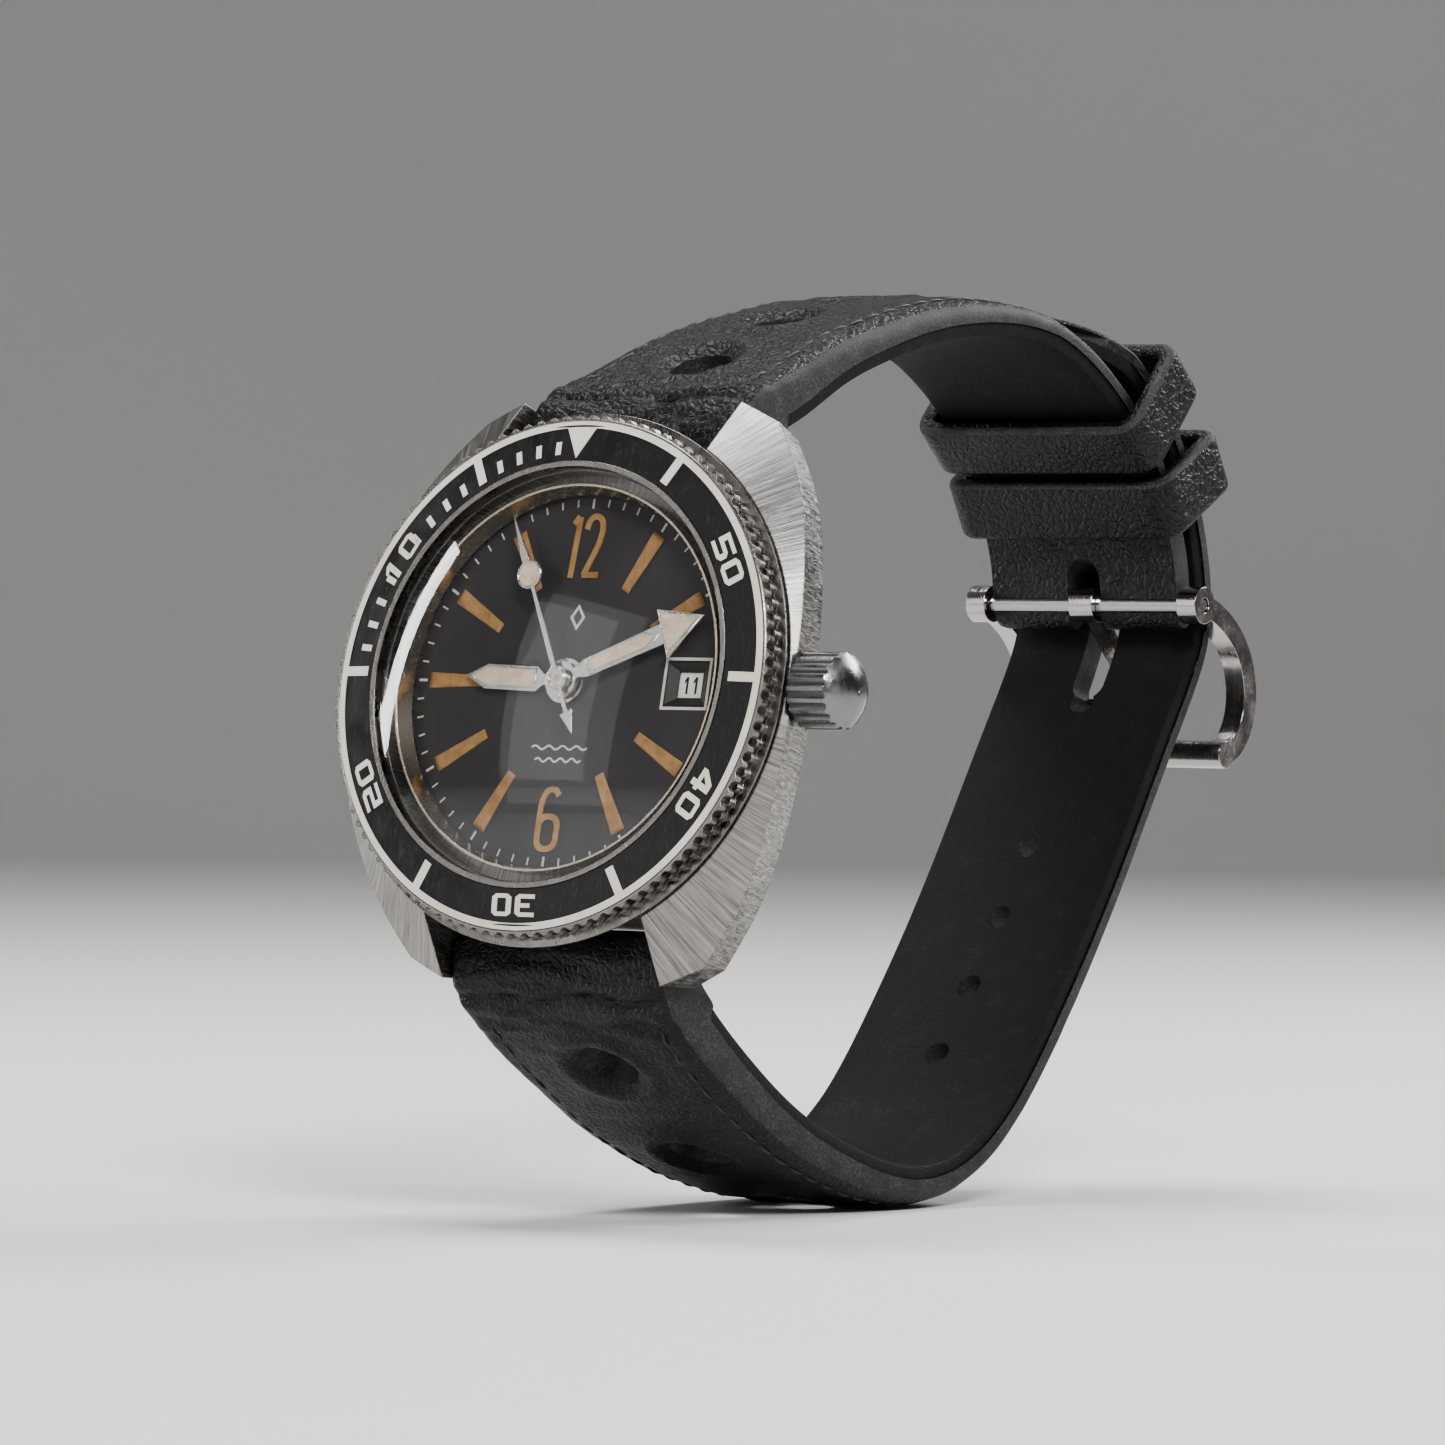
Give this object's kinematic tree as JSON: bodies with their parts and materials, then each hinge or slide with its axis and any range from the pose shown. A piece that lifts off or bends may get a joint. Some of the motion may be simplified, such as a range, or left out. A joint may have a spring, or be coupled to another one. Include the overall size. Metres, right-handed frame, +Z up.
{
  "type": "dive watch",
  "caption": "Mechanical dive watch with a rotating bezel, domed crystal, fluted crown, date window and a buckled leather strap, standing on its side.",
  "frame": {"origin": "centre of the case back's outer face", "axes": "+Z up, +X through the crown at 3 o'clock, the dial faces -Y and leans back by 12.3 degrees"},
  "size_m": [0.0413, 0.0766, 0.0635],
  "materials": {
    "case_steel": "brushed and lightly worn",
    "back_steel": "satin",
    "bezel_steel": "polished edge, aged",
    "crown_steel": "fluted, polished and worn",
    "crystal_acrylic": "clear domed acrylic",
    "insert_black": "black anodised with white marks",
    "leather_black": "grained black leather",
    "lining_leather": "smooth dark lining leather",
    "buckle_steel": "polished steel",
    "rubber_black": "seal rubber",
    "dial_black": "matt black dial with aged lume marks",
    "date_white": "white date ring with black numbers",
    "hand_lume": "cream lume in light metal frames",
    "movement_steel": "plated movement plates",
    "wheel_brass": "brass",
    "pinion_steel": "hardened steel",
    "spring_steel": "spring steel",
    "jewel_ruby": "synthetic ruby",
    "holder_plastic": "plastic ring"
  },
  "bodies": {
    "case_unit": {"mid_case": "case_steel", "case_back": "back_steel", "case_back_gasket": "rubber_black", "crystal": "crystal_acrylic", "crystal_ring": "movement_steel", "pendant_tube": "pinion_steel", "strap_upper": "leather_black", "lining_upper": "lining_leather", "strap_lower": "leather_black", "lining_lower": "lining_leather", "keeper_fixed": "leather_black", "buckle_bar": "pinion_steel", "spring_bar_upper": "pinion_steel", "spring_bar_lower": "pinion_steel", "dial": "dial_black", "movement_holder": "holder_plastic", "main_plate": "movement_steel", "barrel_bridge": "movement_steel", "train_bridge": "movement_steel", "balance_cock": "movement_steel", "pallet_bridge": "movement_steel", "jewels": "jewel_ruby", "bridge_screws": "spring_steel", "hairspring": "spring_steel", "automatic_bridge": "movement_steel", "rotor_screw": "spring_steel"},
    "bezel_unit": {"bezel": "bezel_steel", "bezel_insert": "insert_black", "bezel_spring": "spring_steel"},
    "clutch": {"sliding_pinion": "pinion_steel", "winding_pinion": "pinion_steel"},
    "crown_unit": {"crown": "crown_steel", "crown_gasket": "rubber_black", "winding_stem": "pinion_steel"},
    "minute_unit": {"centre_wheel": "wheel_brass", "cannon_pinion": "pinion_steel", "minute_hand": "hand_lume"},
    "hour_unit": {"hour_wheel": "wheel_brass", "hour_hand": "hand_lume"},
    "motion_wheel": {"minute_wheel": "wheel_brass"},
    "third_unit": {"third_wheel": "wheel_brass"},
    "seconds_unit": {"fourth_wheel": "wheel_brass", "seconds_hand": "hand_lume"},
    "escape_unit": {"escape_wheel": "pinion_steel"},
    "barrel_unit": {"barrel": "wheel_brass", "mainspring": "spring_steel"},
    "arbor_unit": {"barrel_arbor": "pinion_steel", "ratchet_wheel": "pinion_steel"},
    "click_unit": {"click": "pinion_steel"},
    "pallet_unit": {"pallet_fork": "pinion_steel"},
    "balance_unit": {"balance": "wheel_brass"},
    "rotor_unit": {"rotor": "movement_steel"},
    "date_unit": {"date_ring": "date_white"},
    "buckle_unit": {"buckle_frame": "buckle_steel"},
    "tongue_unit": {"buckle_tongue": "buckle_steel"},
    "keeper_free_unit": {"keeper_free": "leather_black"},
    "tip_upper_left": {"bar_tip_upper_left": "pinion_steel"},
    "tip_upper_right": {"bar_tip_upper_right": "pinion_steel"},
    "tip_lower_left": {"bar_tip_lower_left": "pinion_steel"},
    "tip_lower_right": {"bar_tip_lower_right": "pinion_steel"}
  },
  "joints": [
    {"name": "bezel_turn", "type": "hinge", "parent": "case_unit", "child": "bezel_unit", "pos_m": [0, -0.0086, 0.00187], "axis": [0, 0.977, -0.213], "continuous": true},
    {"name": "crown_turn", "type": "hinge", "parent": "case_unit", "child": "clutch", "pos_m": [0.0058, -0.00572, 0.00125], "axis": [1, 0, 0], "continuous": true},
    {"name": "crown_pull", "type": "slide", "parent": "clutch", "child": "crown_unit", "axis": [1, 0, 0], "range_m": [0, 0.001]},
    {"name": "minute_turn", "type": "hinge", "parent": "case_unit", "child": "minute_unit", "pos_m": [0, -0.00586, 0.00128], "axis": [0, 0.977, -0.213], "continuous": true},
    {"name": "hour_turn", "type": "hinge", "parent": "case_unit", "child": "hour_unit", "pos_m": [0, -0.00684, 0.00149], "axis": [0, 0.977, -0.213], "continuous": true},
    {"name": "motion_wheel_turn", "type": "hinge", "parent": "case_unit", "child": "motion_wheel", "pos_m": [0.00245, -0.00611, 0.00344], "axis": [0, 0.977, -0.213], "continuous": true},
    {"name": "third_turn", "type": "hinge", "parent": "case_unit", "child": "third_unit", "pos_m": [0.00324, -0.00465, -0.00019], "axis": [0, 0.977, -0.213], "continuous": true},
    {"name": "seconds_turn", "type": "hinge", "parent": "case_unit", "child": "seconds_unit", "pos_m": [0, -0.0042, 0.00092], "axis": [0, 0.977, -0.213], "continuous": true},
    {"name": "escape_turn", "type": "hinge", "parent": "case_unit", "child": "escape_unit", "pos_m": [-0.00118, -0.00489, -0.00225], "axis": [0, 0.977, -0.213], "continuous": true},
    {"name": "barrel_turn", "type": "hinge", "parent": "case_unit", "child": "barrel_unit", "pos_m": [-0.00361, -0.00349, 0.00604], "axis": [0, 0.977, -0.213], "continuous": true},
    {"name": "arbor_turn", "type": "hinge", "parent": "case_unit", "child": "arbor_unit", "pos_m": [-0.00361, -0.00281, 0.00589], "axis": [0, 0.977, -0.213], "continuous": true},
    {"name": "click_swing", "type": "hinge", "parent": "case_unit", "child": "click_unit", "pos_m": [0.00005, -0.00165, 0.00701], "axis": [0, 0.977, -0.213], "range_deg": [0, 8], "stiffness_Nm_per_rad": 0.00002},
    {"name": "pallet_swing", "type": "hinge", "parent": "case_unit", "child": "pallet_unit", "pos_m": [-0.00345, -0.00522, -0.0028], "axis": [0, 0.977, -0.213], "range_deg": [-5, 5]},
    {"name": "balance_swing", "type": "hinge", "parent": "case_unit", "child": "balance_unit", "pos_m": [-0.00644, -0.0049, -0.00369], "axis": [0, 0.977, -0.213], "range_deg": [-270, 270], "stiffness_Nm_per_rad": 0.00000025, "deforming": ["hairspring"]},
    {"name": "rotor_turn", "type": "hinge", "parent": "case_unit", "child": "rotor_unit", "pos_m": [0, -0.00186, 0.0004], "axis": [0, 0.977, -0.213], "continuous": true},
    {"name": "date_turn", "type": "hinge", "parent": "case_unit", "child": "date_unit", "pos_m": [0, -0.00655, 0.00143], "axis": [0, 0.977, -0.213], "continuous": true},
    {"name": "buckle_swing", "type": "hinge", "parent": "case_unit", "child": "buckle_unit", "pos_m": [0, 0.05619, 0.0075], "axis": [1, 0, 0], "range_deg": [0, 5]},
    {"name": "tongue_swing", "type": "hinge", "parent": "buckle_unit", "child": "tongue_unit", "pos_m": [0, 0.05619, 0.0075], "axis": [1, 0, 0], "range_deg": [0, 3]},
    {"name": "keeper_slide", "type": "slide", "parent": "case_unit", "child": "keeper_free_unit", "axis": [0, -0.7362, 0.6768], "range_m": [0, 0.0015]},
    {"name": "tip_upper_left_press", "type": "slide", "parent": "case_unit", "child": "tip_upper_left", "axis": [1, 0, 0], "range_m": [0, 0.0014], "stiffness_N_per_m": 400},
    {"name": "tip_upper_right_press", "type": "slide", "parent": "case_unit", "child": "tip_upper_right", "axis": [-1, 0, 0], "range_m": [0, 0.0014], "stiffness_N_per_m": 400},
    {"name": "tip_lower_left_press", "type": "slide", "parent": "case_unit", "child": "tip_lower_left", "axis": [1, 0, 0], "range_m": [0, 0.0014], "stiffness_N_per_m": 400},
    {"name": "tip_lower_right_press", "type": "slide", "parent": "case_unit", "child": "tip_lower_right", "axis": [-1, 0, 0], "range_m": [0, 0.0014], "stiffness_N_per_m": 400}
  ],
  "couplings": [
    {"joint": "minute_turn", "follows": "seconds_turn", "ratio": 0.016667},
    {"joint": "hour_turn", "follows": "seconds_turn", "ratio": 0.0013889},
    {"joint": "motion_wheel_turn", "follows": "seconds_turn", "ratio": -0.0055556},
    {"joint": "third_turn", "follows": "seconds_turn", "ratio": -0.13333},
    {"joint": "escape_turn", "follows": "seconds_turn", "ratio": -10},
    {"joint": "barrel_turn", "follows": "seconds_turn", "ratio": -0.0027778}
  ]
}
